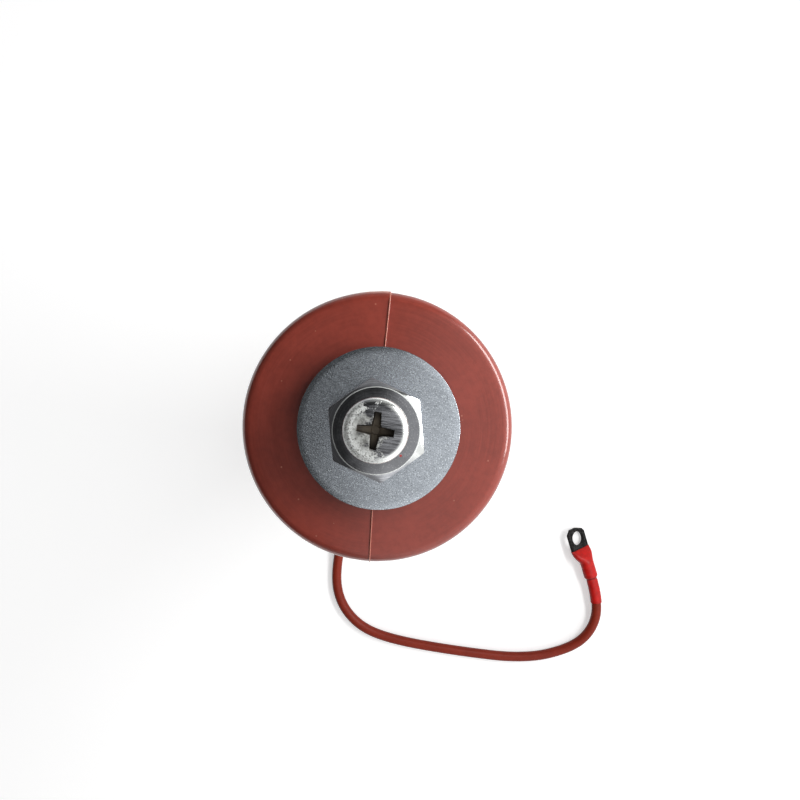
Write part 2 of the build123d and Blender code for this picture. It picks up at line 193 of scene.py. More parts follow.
class Shader:
    """Adds and links the nodes of a material or a group. Its body is the base colour so far."""

    def __init__(self, tree, material=None):
        self.tree, self.material, self.body = tree, material, None

    def add(self, kind, inputs=None, **settings):
        node = self.tree.nodes.new(kind)
        for name, value in settings.items():
            setattr(node, name, value)
        for name, value in (inputs or {}).items():
            self.put(node.inputs[name], value)
        return node

    def put(self, socket, value):
        """Links a socket or sets its value. Colours are opaque."""
        if isinstance(value, bpy.types.NodeSocket):
            self.tree.links.new(value, socket)
        elif socket.type == "RGBA":
            socket.default_value = (*value[:3], 1.0)
        else:
            socket.default_value = value

    def maths(self, operation, a, b=0.0):
        return self.add("ShaderNodeMath", {0: a, 1: b}, operation=operation).outputs[0]

    def vector(self, operation, a, b=(0.0, 0.0, 0.0)):
        """A value from two vectors: their dot product or distance, or the first one's length."""
        return self.add("ShaderNodeVectorMath", {0: a, 1: b}, operation=operation).outputs["Value"]

    def times(self, a, b, *more):
        product = self.maths("MULTIPLY", a, b)
        return self.times(product, *more) if more else product

    def plus(self, a, b):
        return self.maths("ADD", a, b)

    def minus(self, a, b):
        return self.maths("SUBTRACT", a, b)

    def larger(self, a, b):
        return self.maths("MAXIMUM", a, b)

    def absolute(self, a):
        return self.maths("ABSOLUTE", a)

    def radius(self, x, y):
        """Distance from the place where x and y are 0."""
        return self.maths("SQRT", self.plus(self.times(x, x), self.times(y, y)))

    def ramp(self, value, low, high, start=0.0, end=1.0, smooth=True):
        """Maps low..high to start..end, and holds the ends."""
        kind = "SMOOTHSTEP" if smooth else "LINEAR"
        inputs = {"Value": value, "From Min": low, "From Max": high, "To Min": start, "To Max": end}
        return self.add("ShaderNodeMapRange", inputs, interpolation_type=kind).outputs["Result"]

    def fade(self, value, low, high, *ends, **settings):
        """A ramp between two places that are given in millimetres."""
        return self.ramp(value, low * MM, high * MM, *ends, **settings)

    def mix(self, amount, a, b):
        """Colour a, or b where the amount is 1. The numbers are the node's colour sockets."""
        return self.add("ShaderNodeMix", {0: amount, 6: a, 7: b}, data_type="RGBA").outputs[2]

    def paint(self, mask, colour, amount=1.0):
        """Lays a colour over the body's own, by a share of the mask."""
        share = mask if amount == 1.0 else self.times(mask, amount)
        self.body = self.mix(share, self.body, colour)

    def noise(self, vector, scale, detail=3.0, roughness=0.55):
        """Noise from 0 to 1. The scale is in features per millimetre."""
        inputs = {"Vector": vector, "Scale": scale / MM, "Detail": detail, "Roughness": roughness}
        return self.add("ShaderNodeTexNoise", inputs).outputs[0]

    def place(self):
        """Position in the arrester's frame."""
        return self.add("ShaderNodeTexCoord").outputs["Object"]

    def split(self, vector):
        return self.add("ShaderNodeSeparateXYZ", {0: vector}).outputs

    def join(self, x, y, z):
        return self.add("ShaderNodeCombineXYZ", {0: x, 1: y, 2: z}).outputs[0]

    def upright(self):
        """How far the surface faces up: 1 on a level face, 0 on a wall."""
        return self.split(self.add("ShaderNodeNewGeometry").outputs["Normal"])[2]

    def bump(self, height, distance, strength):
        """A normal. The distance is in millimetres."""
        inputs = {"Height": height, "Distance": distance * MM, "Strength": strength}
        return self.add("ShaderNodeBump", inputs).outputs[0]


def effect(name, **inputs):
    """Makes a shader node group, once, of a function that gives its outputs, and places it in materials."""

    def group(build):
        tree = bpy.data.node_groups.new(name, "ShaderNodeTree")
        for label, default in inputs.items():
            socket = tree.interface.new_socket(label, in_out="INPUT", socket_type="NodeSocketFloat")
            socket.default_value = default
        shader = Shader(tree)
        results = build(shader, shader.add("NodeGroupInput").outputs)
        for label in results:
            tree.interface.new_socket(label, in_out="OUTPUT", socket_type="NodeSocketFloat")
        shader.add("NodeGroupOutput", results)
        return tree

    def wrap(build):
        def placed(shader, **values):
            tree = bpy.data.node_groups.get(name) or group(build)
            return shader.add("ShaderNodeGroup", values, node_tree=tree).outputs

        return placed

    return wrap


@effect("Moulding streaks", Rings=2.4)
def moulding_streaks(s, given):
    """Fine rings about the axis, as on a mould that was turned on a lathe, and broad patches."""
    x, y, z = s.split(s.place())
    around = s.maths("ARCTAN2", y, x)
    out = s.radius(x, y)
    ring = s.join(s.times(out, given["Rings"]), s.times(around, 0.0012), z)
    return {"Streaks": s.noise(ring, 1.0, 4.0, 0.6), "Broad": s.noise(s.place(), 0.09)}


@effect("Flecks", Cells=500.0, Threshold=0.8, Size=0.1)
def flecks(s, given):
    """Scattered specks: a mask of small dots, each in a random cell."""
    cells = s.add("ShaderNodeTexVoronoi", {"Vector": s.place(), "Scale": given["Cells"]})
    pick = s.split(cells.outputs["Color"])[0]
    kept = s.maths("GREATER_THAN", pick, given["Threshold"])
    near = s.maths("LESS_THAN", cells.outputs["Distance"], given["Size"])
    return {"Mask": s.times(kept, near)}


@effect("Scratches", Direction=0.0, Fineness=6000.0)
def scratches(s, given):
    """Noise drawn out along one direction, for fine straight scratches."""
    inputs = {"Vector": s.place(), "Angle": given["Direction"]}
    turned = s.add("ShaderNodeVectorRotate", inputs, rotation_type="Z_AXIS").outputs[0]
    x, y, z = s.split(turned)
    inputs = {"Vector": s.join(s.times(x, 0.035), y, z), "Scale": given["Fineness"]}
    lines = s.add("ShaderNodeTexNoise", {**inputs, "Detail": 5.0, "Roughness": 0.7})
    return {"Lines": lines.outputs[0]}


@effect("Edge wear", From=0.52, To=0.6)
def edge_wear(s, given):
    """A mask of a piece's outer edges, broken up by noise."""
    point = s.add("ShaderNodeNewGeometry").outputs["Pointiness"]
    raised = s.ramp(point, given["From"], given["To"])
    broken = s.ramp(s.noise(s.place(), 0.9, 4.0), 0.35, 0.62)
    return {"Mask": s.times(raised, broken)}


@effect("Grime", From=0.42, To=0.62)
def grime(s, given):
    """A mask of a dull film that gathers unevenly."""
    wide = s.noise(s.place(), 0.16, 4.0, 0.6)
    fine = s.noise(s.place(), 1.4, 4.0, 0.7)
    both = s.plus(s.times(wide, 0.7), s.times(fine, 0.3))
    return {"Mask": s.ramp(both, given["From"], given["To"])}


def new_material(name):
    material = bpy.data.materials.new(name)
    material.use_nodes = True
    material.node_tree.nodes.clear()
    return Shader(material.node_tree, material)


def close(shader, roughness, normal, metallic=0.0, **extra):
    """Ends a material with its surface."""
    inputs = {"Base Color": shader.body, "Roughness": roughness, "Metallic": metallic, "Normal": normal}
    for name, value in extra.items():
        inputs[name.replace("_", " ")] = value
    surface = shader.add("ShaderNodeBsdfPrincipled", inputs)
    shader.add("ShaderNodeOutputMaterial", {"Surface": surface.outputs[0]})
    return shader.material


def tint(rgb, factor):
    return tuple(min(1.0, c * factor) for c in rgb)


def moulded_rubber(name, rgb, pale, roughness=0.33, fleck_share=0.86, shine=0.32, housing=None):
    """Satin moulded silicone with turning rings from its mould, pale flecks and faint rubbed patches."""
    s = new_material(name)
    rings = moulding_streaks(s)
    s.body = s.mix(s.ramp(rings["Streaks"], 0.3, 0.7), tint(rgb, 0.9), tint(rgb, 1.08))
    s.paint(s.ramp(rings["Broad"], 0.35, 0.7), tint(rgb, 1.18))
    mottle = s.noise(s.place(), 0.75, 5.0, 0.7)
    s.paint(s.ramp(mottle, 0.42, 0.7, 0.0, 0.34), tint(rgb, 0.72))
    s.paint(s.ramp(mottle, 0.5, 0.3, 0.0, 0.22), tint(rgb, 1.3))
    dots = flecks(s, Cells=620.0, Threshold=fleck_share, Size=0.1)["Mask"]
    big_dots = flecks(s, Cells=230.0, Threshold=0.8, Size=0.062)["Mask"]
    marks = scratches(s, Direction=0.7, Fineness=2600.0)["Lines"]
    s.paint(dots, pale, 0.5)
    s.paint(big_dots, pale, 0.7)
    s.paint(s.ramp(marks, 0.7, 0.76), pale, 0.35)
    rough = s.ramp(rings["Streaks"], 0.25, 0.75, roughness - 0.05, roughness + 0.07)
    skin = s.noise(s.place(), 1.6, 4.0, 0.6)
    height = s.plus(s.times(rings["Streaks"], 0.6), s.times(skin, 0.4))
    film = {}
    if housing:
        s.paint(seam_flash(s, housing), pale)
        film = {"Coat_Weight": 0.65, "Coat_Roughness": 0.11}
    return close(s, rough, s.bump(height, 0.05, 0.7), Specular_IOR_Level=shine, **film)


def seam_flash(s, sizes):
    """A mask of the thin flash: along the seams, and on the top shed's rim beside the first one."""
    x, y, z = s.split(s.place())
    mask = 0.0
    for turn in (sizes.seam_angle, sizes.seam_opposite):
        across = s.minus(s.times(y, cos(turn)), s.times(x, sin(turn)))
        along = s.plus(s.times(x, cos(turn)), s.times(y, sin(turn)))
        wide = s.fade(s.absolute(across), 0.13, 0.05)
        near = s.times(wide, s.maths("GREATER_THAN", along, 0.0))
        mask = s.larger(mask, near)
    out = s.radius(x, y)
    turned = s.minus(s.maths("ARCTAN2", y, x), sizes.seam_angle)
    beside = s.times(s.ramp(turned, 0.0, 0.02), s.ramp(turned, 0.34, 0.12))
    edge = s.fade(out, sizes.shed_radius - 0.35, sizes.shed_radius - 0.1)
    rim = s.times(edge, s.fade(z, sizes.height - 7.0, sizes.height - 5.5))
    return s.larger(s.times(mask, 0.75), s.times(rim, beside))


def plated_metal(name, rgb, worn, roughness, direction, dirt, grain, sparkle=0.0):
    """Plated steel: fine scratches and a dull film, with worn edges or, if asked for, a sparkling grain and
    painted shade on every face that is not level.
    """
    s = new_material(name)
    lines = scratches(s, Direction=direction, Fineness=5200.0)["Lines"]
    film = grime(s)["Mask"]
    s.body = s.mix(s.ramp(lines, 0.3, 0.7), tint(rgb, 0.82), tint(rgb, 1.15))
    s.paint(film, tint(rgb, 0.55), dirt)
    crystals = s.noise(s.place(), grain, 2.0, 0.7)
    if sparkle:
        s.paint(s.ramp(crystals, 0.58, 0.4), tint(rgb, 0.52))
        bright = flecks(s, Cells=3600.0, Threshold=0.6, Size=0.36)["Mask"]
        s.paint(bright, tint(rgb, 1.3), sparkle)
        pits = flecks(s, Cells=2900.0, Threshold=0.78, Size=0.34)["Mask"]
        s.paint(pits, tint(rgb, 0.15), 0.4)
        # painted shade: faces that are not level, such as the rounded edges and walls, are painted darker
        s.paint(s.ramp(s.upright(), 0.97, 0.8), tint(rgb, 0.25))
    else:
        s.paint(edge_wear(s)["Mask"], worn, 0.8)
    rough = s.ramp(crystals, 0.2, 0.8, roughness - 0.08, roughness + 0.1)
    height = s.plus(s.times(lines, 0.5), s.times(crystals, 0.5))
    return close(s, rough, s.bump(height, 0.03, 0.4 if sparkle else 0.35), 1.0)


# ---- Meshes ----


def new_object(name, data):
    made = bpy.data.objects.new(name, data)
    bpy.context.scene.collection.objects.link(made)
    return made


def dress(piece, node):
    """Lets a piece ride on the body and stand for its CAD node."""
    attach(piece, ROOT)
    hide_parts(node)
    return piece


def make_piece(name, shape, material, node, sharp=40.0):
    """Makes a piece of vertices and faces, with the edges over the sharp angle left sharp."""
    verts, faces = shape
    mesh = bpy.data.meshes.new(name)
    mesh.from_pydata([tuple(c * MM for c in v) for v in verts], [], faces)
    mesh.validate()
    work = bmesh.new()
    work.from_mesh(mesh)
    bmesh.ops.remove_doubles(work, verts=work.verts, dist=1e-7)
    bmesh.ops.recalc_face_normals(work, faces=work.faces)
    work.to_mesh(mesh)
    work.free()
    mesh.shade_smooth()
    mesh.set_sharp_from_angle(angle=radians(sharp))
    mesh.materials.append(material)
    return dress(new_object(name, mesh), node)


def round_profile(corners, rounds, steps):
    """Points along a profile of (radius, height) corners, with the listed corners rounded."""
    points = []
    count = len(corners)
    for i, corner in enumerate(corners):
        size = rounds.get(i, 0.0)
        here = Vector(corner)
        before, after = Vector(corners[i - 1]), Vector(corners[(i + 1) % count])
        if not size:
            points.append(tuple(here))
            continue
        to_before, to_after = (before - here).normalized(), (after - here).normalized()
        half = to_before.angle(to_after) / 2
        reach = size / tan(half)
        middle = here + (to_before + to_after).normalized() * (size / sin(half))
        start, end = here + to_before * reach - middle, here + to_after * reach - middle
        turn = start.angle_signed(end)
        for k in range(steps + 1):
            arm = start.copy()
            arm.rotate(Matrix.Rotation(-turn * k / steps, 2))
            points.append(tuple(middle + arm))
    return points


def skin(rows):
    """Faces between rings of points, one ring after the other. Points that fall together make a triangle."""
    faces = []
    for low, high in zip(rows, rows[1:]):
        for k in range(len(low)):
            n = (k + 1) % len(low)
            corners = list(dict.fromkeys((low[k], low[n], high[n], high[k])))
            if len(corners) > 2:
                faces.append(corners)
    return faces


def lathe(profile, count):
    """Vertices and faces of a closed profile turned about Z."""
    verts, rows = [], []
    for r, z in profile:
        rows.append(list(range(len(verts), len(verts) + count)))
        verts += [(r * cos(FULL_TURN * k / count), r * sin(FULL_TURN * k / count), z) for k in range(count)]
    return verts, skin(rows + rows[:1])


def moved(shape, matrix):
    verts, faces = shape
    return [tuple(matrix @ Vector(v)) for v in verts], faces


def facing(place, direction, axis):
    """Stands at a place and turns the axis to the direction."""
    return Matrix.Translation(place) @ direction.to_track_quat(axis, "Y").to_matrix().to_4x4()


def curve_line(obj):
    """Points of a curve's own line, in metres, from the curve itself with no bevel."""
    data = obj.data
    depth, data.bevel_depth = data.bevel_depth, 0.0
    bpy.context.view_layer.update()
    line = bpy.data.meshes.new_from_object(obj.evaluated_get(bpy.context.evaluated_depsgraph_get()))
    data.bevel_depth = depth
    points = [v.co.copy() for v in line.vertices]
    bpy.data.meshes.remove(line)
    return points


# ---- Housing ----


def housing_profile(sizes):
    """Corners and rounds of the housing's outside, from the base's middle up to the top collar."""
    corners = [(0.0, 0.0), (sizes.base_radius, 0.0), (sizes.base_radius, sizes.base_height)]
    rounds = {2: 1.5}

    def add(radius, height, size=0.0):
        if size:
            rounds[len(corners)] = size
        corners.append((radius, height))

    core, rim = sizes.core_radius, sizes.shed_radius
    root_round, rim_round = 1.6, 2.3
    below, above = 1.0, 2.2  # from a shed's rim to where its faces meet the core
    add(core, sizes.base_height + 3.0, root_round)
    pitch = (sizes.height - TOP_RIM / 2 - sizes.base_height) / (sizes.lower_sheds + 1)
    for i in range(1, sizes.lower_sheds + 1):
        middle = sizes.base_height + i * pitch
        low, high = middle - LOWER_RIM / 2, middle + LOWER_RIM / 2
        add(core, low - below, root_round)
        add(rim, low, rim_round)
        add(rim, high, rim_round)
        add(core, high + above, root_round)
    low = sizes.height - TOP_RIM
    add(core, low - below, root_round)
    add(rim, low, 2.9)
    add(rim, sizes.height, 1.9)
    add(COLLAR_RADIUS, sizes.height)
    add(COLLAR_RADIUS, sizes.height + COLLAR_HEIGHT)
    add(0.0, sizes.height + COLLAR_HEIGHT)
    return corners, rounds


def dense(profile, step):
    """Adds points along long straight runs of a profile."""
    points = [profile[0]]
    for start, end in zip(profile, profile[1:]):
        gap = hypot(end[0] - start[0], end[1] - start[1])
        parts = max(1, ceil(gap / step))
        for k in range(1, parts + 1):
            t = k / parts
            points.append((start[0] + (end[0] - start[0]) * t, start[1] + (end[1] - start[1]) * t))
    return points


def build_housing(sizes):
    """The profile turned column by column, with the flash standing on the columns beside each seam."""
    corners, rounds = housing_profile(sizes)
    profile = dense(round_profile(corners, rounds, 7), 1.6)
    count = len(profile)
    normals = []
    for i in range(count):
        before, after = profile[max(0, i - 1)], profile[min(count - 1, i + 1)]
        run, rise = after[0] - before[0], after[1] - before[1]
        size = hypot(run, rise) or 1.0
        normals.append((rise / size, -run / size))
    half_turn_columns = 84
    beside = [0.045, 0.09, 0.14, 0.22, 0.36, 0.6, 1.0, 1.6]  # offsets from the seam
    ridge = [-w for w in reversed(beside)] + [0.0] + beside
    width = sizes.seam_width / 2
    most_lift = 0.29
    shed_face = 14.0  # from here outwards the seam's waviness follows the radius, and further in the height
    columns = []  # angle, offset from the seam or None, side
    start = beside[-1] / sizes.core_radius * 1.4
    seams = [sizes.seam_angle, sizes.seam_opposite, sizes.seam_angle + FULL_TURN]
    for side in (0, 1):
        seam, after = seams[side], seams[side + 1]
        columns += [(seam, w, side) for w in ridge]
        for k in range(1, half_turn_columns):
            columns.append((seam + start + (after - seam - 2 * start) * k / half_turn_columns, None, side))
    verts, rows = [], []
    for i, (r, z) in enumerate(profile):
        if r < 1e-6:
            rows.append([len(verts)] * len(columns))
            verts.append((0.0, 0.0, z))
            continue
        row = []
        for turn, offset, side in columns:
            along = r if r > shed_face else z
            lift = step = 0.0
            if offset is None:
                x, y = r * cos(turn), r * sin(turn)
            else:
                wander = sizes.seam_wander * noise.noise(Vector((along * 0.35, z * 0.2, 3.0 + side)))
                place = offset + wander
                fine = 0.8 + 0.35 * noise.noise(Vector((along * 1.3, z * 0.9, 9.0 + side)))
                lift = sizes.seam_height * fine * exp(-((offset / width) ** 4))
                lift -= 0.05 * exp(-(((abs(offset) - 2.4 * width) / width) ** 2))
                depth = sqrt(max(r * r - place * place, 0.0))
                x = depth * cos(turn) - place * sin(turn)
                y = depth * sin(turn) + place * cos(turn)
            if z > sizes.height - TOP_RIM and r > sizes.core_radius + 1:
                around = (atan2(y, x) - sizes.seam_angle + pi) % FULL_TURN - pi
                if 0 < around < 0.6:  # the two halves of the mould meet in a small step
                    step = 0.22 * exp(-((around / 0.2) ** 2))
            nr, nz = normals[i]
            out = hypot(x, y) or 1.0
            push = min(max(lift, step * max(nr, 0.0)), most_lift)
            if z < 0.5 or r < COLLAR_RADIUS + 0.5:
                push = 0.0
            row.append(len(verts))
            verts.append((x + x / out * nr * push, y + y / out * nr * push, z + nz * push))
        rows.append(row)
    return verts, skin(rows)


class ARRESTER_OT_housing(bpy.types.Operator):
    """Moulded silicone housing with its sheds and the flash on its mould seam"""

    bl_idname = "arrester.housing"
    bl_label = "Housing"

    def execute(self, context):
        sizes = context.scene.arrester_housing
        material = moulded_rubber("Moulded silicone", sizes.rubber, sizes.flash, housing=sizes)
        make_piece("housing", build_housing(sizes), material, "silicone_housing", 50.0)
        return {"FINISHED"}


# ---- Terminal ----


def heights(name):
    """Bottom and top of a CAD node."""
    return [corner.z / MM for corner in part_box(name)]


def build_washer(sizes, bottom):
    low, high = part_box("terminal_washer")
    middle = (low + high) / 2 / MM
    outer, inner, thick = sizes.washer_radius, 5.5, sizes.washer_thickness
    corners = [(inner, 0.0), (outer, 0.0), (outer, thick), (inner, thick)]
    profile = dense(round_profile(corners, {0: 0.2, 1: 0.35, 2: 0.1, 3: 0.2}, 4), 1.2)
    verts, faces = lathe(profile, 220)
    shaped = []
    for x, y, z in verts:
        r = hypot(x, y)
        rag = 0.0
        if r > outer - 0.5:
            rag = -0.05 * abs(noise.noise(Vector((x * 1.7, y * 1.7, z))))
        scale = (r + rag) / r
        shaped.append((x * scale + middle.x, y * scale + middle.y, z + bottom))
    return shaped, faces


def build_nut(sizes, bottom):
    """A chamfered hexagon, column by column: the chamfer cone meets each flat in its own curve."""
    half, high = sizes.nut_flats / 2, sizes.nut_height
    face, bore = half * NUT_FACE_SHARE, 5.05
    corner = half / cos(radians(30)) - 0.04
    per_side = 26
    soft = 0.1
    verts, rows = [], []
    for k in range(6 * per_side):
        turn = (k % per_side) / per_side * radians(60) - radians(30)
        reach = min(half / cos(turn), corner)
        drop = max(0.0, (reach - face) * tan(radians(30)))
        side = [
            (bore, 0.5),
            (bore + 0.5, 0.0),
            (face - 0.1, 0.0),
            (face + 0.1, 0.05),
            (reach - soft, drop - soft * 0.5),
            (reach - soft * 0.3, drop + soft * 0.1),
            (reach, drop + soft * 1.2),
            (reach, high - drop - soft * 1.2),
            (reach - soft * 0.3, high - drop - soft * 0.1),
            (reach - soft, high - drop + soft * 0.5),
            (face + 0.12, high - 0.07),
            (face, high - 0.015),
            (face - 0.12, high),
            (bore + 0.6, high),
            (bore, high - 0.6),
        ]
        absolute = sizes.nut_corner + radians(30) + turn + (k // per_side) * radians(60)
        rows.append(list(range(len(verts), len(verts) + len(side))))
        verts += [(r * cos(absolute), r * sin(absolute), z + bottom) for r, z in side]
    return verts, skin(rows + rows[:1])


def smooth_step(value, low, high):
    t = min(1.0, max(0.0, (value - low) / (high - low)))
    return t * t * (3 - 2 * t)


def recess_drop(u, v):
    """Depth of the cross recess at a point of the head's face, in its own axes."""
    depth, arm, half_width, steepness = 2.9, 3.2, 0.56, 9.0
    core_radius = 1.3
    drop = 0.0
    for a, b in ((u, v), (v, u)):
        reach = abs(a)
        wall = min(half_width - abs(b) + 0.12 * (arm - reach), (arm + 0.02 - reach) * 1.1)
        if wall > 0:
            drop = max(drop, min(wall * steepness, depth - 0.42 * reach))
    core = (core_radius - hypot(u, v)) * 5.0
    if core > 0:
        drop = max(drop, min(core, depth))
    return drop


def build_screw(sizes, nut_top, tip):
    """Pan head with a cross recess, as a fine grid that turns from square to round, over a plain shank."""
    radius, height = sizes.head_radius, sizes.head_height
    inner, inner_cells, outer_cells = 3.5, 76, 22  # half width of the square part, cells of each part
    half = inner_cells // 2
    stations = [inner * k / half for k in range(half + 1)]
    stations += [inner + (radius - inner) * k / outer_cells for k in range(1, outer_cells + 1)]
    values = [-s for s in reversed(stations[1:])] + stations
    n = len(values)
    edge, shank_radius = 1.4, 3.0
    face_radius = radius - edge
    verts = []
    for v in values:
        for u in values:
            m = max(abs(u), abs(v))
            x, y = u, v
            if m > inner:
                t = smooth_step((m - inner) / (radius - inner), 0.0, 0.85)
                out = hypot(u, v)
                x = u * (1 - t) + u / out * m * t
                y = v * (1 - t) + v / out * m * t
            r = min(hypot(x, y), radius)
            z = 0.0
            if r > face_radius:
                z = -edge + sqrt(max(edge * edge - (r - face_radius) ** 2, 0.0))
            z -= 0.05 * (r / face_radius) ** 2
            z -= recess_drop(x, y)
            verts.append((x, y, z + height))
    faces = [[k, k + 1, k + n + 1, k + n] for k in range(n * (n - 1)) if (k + 1) % n]
    last, left = n * n - 1, n * (n - 1)
    border = [*range(n - 1), *range(n - 1, last, n), *range(last, left, -1), *range(left, 0, -n)]
    rows = [border]
    shank = tip - nut_top
    sides = [(radius, height - edge - 0.4), (radius, 0.25), (radius * 0.975, 0.0)]
    for reach, z in [*sides, (shank_radius, 0.0), (shank_radius, shank)]:
        row = []
        for index in border:
            x, y, _ = verts[index]
            out = hypot(x, y)
            row.append(len(verts))
            verts.append((x / out * reach, y / out * reach, z))
        rows.append(row)
    faces += skin(rows)
    faces.append(rows[-1][::-1])
    turn = Matrix.Translation((0, 0, nut_top)) @ Matrix.Rotation(sizes.recess_angle, 4, "Z")
    return moved((verts, faces), turn)


def from_middle(s, middle):
    """Coordinates about a piece's middle, and the distance from it."""
    x, y, z = s.split(s.place())
    x = s.minus(x, middle[0] * MM)
    y = s.minus(y, middle[1] * MM)
    out = s.radius(x, y)
    return x, y, z, out


def turned_nut_metal(sizes, top):
    """Bright plated steel: turned rings on the face with painted shade, darker towards -X and +Y, a rubbed
    line where the chamfer starts, a painted highlight on the chamfer's +X side, dull flats.
    """
    rgb, worn = sizes.steel, sizes.worn
    s = new_material("Bright plated steel")
    x, y, z, out = from_middle(s, sizes.nut_shift)
    rings = s.noise(s.join(out, 0.0, 0.0), 5.2, 3.0, 0.5)
    film = grime(s)["Mask"]
    flat = s.upright()
    face = s.ramp(flat, 0.93, 0.98)
    wall = s.ramp(s.absolute(flat), 0.5, 0.2)
    s.body = s.mix(s.ramp(rings, 0.35, 0.65), tint(rgb, 0.5), tint(rgb, 1.35))
    # painted shade: the turned face is painted darker towards -X and +Y and lighter towards +X and -Y
    lean = s.plus(s.times(x, 0.8), s.times(y, -0.6))
    turned = s.mix(s.fade(lean, -5.5, 5.5), tint(rgb, 0.16), tint(rgb, 0.5))
    turned = s.mix(s.ramp(rings, 0.3, 0.7), turned, tint(rgb, 0.42))
    s.paint(face, turned, 0.85)
    specks = flecks(s, Cells=4300.0, Threshold=0.72, Size=0.34)["Mask"]
    s.paint(s.times(specks, face), tint(worn, 0.7), 0.5)
    # painted highlight: the chamfer is painted in bright bare steel on its +X side
    cone = s.times(s.ramp(flat, 0.96, 0.92), s.ramp(flat, 0.5, 0.8))
    side = s.plus(s.times(x, 0.97), s.times(y, 0.25))
    painted_light_side = s.fade(side, 3.0, 6.0)
    s.paint(s.times(cone, painted_light_side), tint(worn, 1.15), 0.9)
    s.paint(film, tint(rgb, 0.4), 0.35)
    rust = s.times(s.ramp(s.noise(s.place(), 0.5, 4.0), 0.5, 0.64), wall)
    s.paint(rust, RUST, 0.6)
    line_radius = sizes.nut_flats / 2 * (NUT_FACE_SHARE + 0.003)
    line = s.fade(s.absolute(s.minus(out, line_radius * MM)), 0.16, 0.0)
    line = s.times(line, s.fade(z, top - 0.4, top - 0.2))
    s.paint(line, worn, 0.8)
    gap = s.vector("DISTANCE", s.place(), Vector((*CRUMB_PLACE, top)) * MM)
    crumb = s.fade(gap, 0.32, 0.1)
    s.paint(crumb, RED_CRUMB)
    rough = s.plus(s.ramp(film, 0.0, 1.0, 0.1, 0.18), s.times(wall, 0.3))
    metal = s.minus(1.0, s.larger(s.times(line, 0.75), crumb))
    return close(s, rough, s.bump(rings, 0.02, 0.3), metal)


def rubbed_screw_metal(sizes, top):
    """Pan head with worn pale patches on one side, brushed dark metal on the other, a painted highlight on
    the rim's +X side with painted shade on its -X side, and brown dirt in the recess with painted shade on
    its upper walls.
    """
    rgb, worn = sizes.steel, sizes.worn
    s = new_material("Rubbed steel")
    x, y, z, out = from_middle(s, sizes.screw_shift)
    lines = scratches(s, Direction=0.12, Fineness=4200.0)["Lines"]
    brushed = s.mix(s.ramp(lines, 0.4, 0.62), tint(rgb, 0.16), tint(rgb, 0.75))
    patches = s.noise(s.place(), 0.55, 5.0, 0.65)
    fine = s.noise(s.place(), 3.2, 4.0, 0.75)
    side = s.plus(s.times(x, -1.0), s.times(y, -0.28))
    lean = s.fade(side, -2.4, 3.6, -0.16, 0.22, smooth=False)
    spread = s.plus(s.plus(patches, lean), s.times(fine, 0.42))
    rubbed = s.ramp(spread, 0.67, 0.8)
    on_face = s.fade(out, 5.75, 5.1)
    near_top = s.fade(z, top - 1.2, top - 0.9)
    rubbed = s.times(rubbed, s.times(on_face, near_top))
    inner = s.fade(out, 2.6, 4.6)
    grey = s.mix(s.ramp(patches, 0.4, 0.62), *RUBBED_GREYS)
    pale = s.mix(inner, grey, worn)
    pits = s.ramp(fine, 0.5, 0.4)
    pale = s.mix(s.times(pits, 0.8), pale, PIT)
    # painted highlight and shade: the head's rim is painted bright towards +X and dark towards -X
    on_top = s.fade(out, 5.0, 4.4)
    painted_light_side = s.fade(x, -2.5, 2.5)
    s.body = s.mix(on_top, s.mix(painted_light_side, tint(rgb, 0.45), tint(worn, 1.15)), brushed)
    s.paint(rubbed, pale)
    # brown dirt in the recess, with painted shade: its upper walls are painted darker than its floor
    sunk = s.fade(z, top - 0.25, top - 0.7)
    hollow = s.times(sunk, s.fade(out, 3.7, 3.4))
    floor = s.fade(z, top - 1.6, top - 2.4)
    dirt = s.mix(floor, *RECESS_DIRT_AND_SHADE)
    s.paint(hollow, dirt)
    rough = s.ramp(rubbed, 0.0, 1.0, 0.2, 0.5)
    rough = s.larger(rough, s.times(hollow, 0.7))
    metal = s.times(s.ramp(rubbed, 0.0, 1.0, 1.0, 0.35), s.ramp(hollow, 0.0, 1.0, 1.0, 0.2))
    height = s.plus(s.times(lines, 0.4), s.times(rubbed, 0.6))
    return close(s, rough, s.bump(height, 0.03, 0.5), metal)


class ARRESTER_OT_terminal(bpy.types.Operator):
    """Washer, nut and screw on top of the arrester"""

    bl_idname = "arrester.terminal"
    bl_label = "Terminal"

    def execute(self, context):
        sizes = context.scene.arrester_terminal
        washer_low, washer_high = heights("terminal_washer")
        nut_top = heights("terminal_nut")[1]
        tip, head_top = heights("terminal_screw")
        plate = plated_metal("Zinc plate", sizes.zinc, sizes.worn, 0.17, 0.4, 0.35, 7.0, 0.8)
        bright = turned_nut_metal(sizes, nut_top)
        rubbed = rubbed_screw_metal(sizes, head_top)
        make_piece("washer", build_washer(sizes, washer_low), plate, "terminal_washer")
        for name, shape, shift, finish, sharp in (
            ("nut", build_nut(sizes, washer_high), sizes.nut_shift, bright, 24.0),
            ("screw", build_screw(sizes, nut_top, tip), sizes.screw_shift, rubbed, 38.0),
        ):
            shape = moved(shape, Matrix.Translation((*shift, 0.0)))
            make_piece(name, shape, finish, "terminal_" + name, sharp)
        return {"FINISHED"}


# ---- Lead ----


